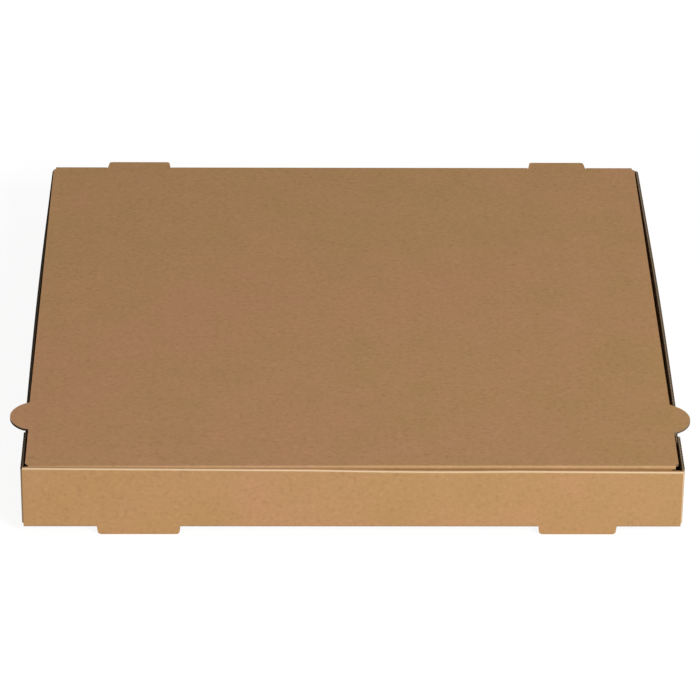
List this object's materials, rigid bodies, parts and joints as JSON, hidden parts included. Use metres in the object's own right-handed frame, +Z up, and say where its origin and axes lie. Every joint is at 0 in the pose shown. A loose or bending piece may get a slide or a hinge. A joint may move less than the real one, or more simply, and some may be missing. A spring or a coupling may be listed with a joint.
{
  "type": "pizza box",
  "caption": "Square folded corrugated pizza box with a hinged lid, side ears, a rolled double front wall with feet, and a tuck flap.",
  "frame": {"origin": "middle of the underside of the bottom panel, between the walls", "axes": "+Z up, -Y towards the front wall with the feet, +X to the right seen from the front"},
  "size_m": [0.419, 0.4066, 0.0459],
  "materials": {
    "kraft_board": "matt uncoated brown kraft liner"
  },
  "bodies": {
    "tray": {"tray": "kraft_board"},
    "lid": {"lid": "kraft_board"}
  },
  "joints": [
    {"name": "lid_hinge", "type": "hinge", "parent": "tray", "child": "lid", "pos_m": [0, 0.19925, 0.04025], "axis": [-1, 0, 0], "range_deg": [0, 180]}
  ]
}
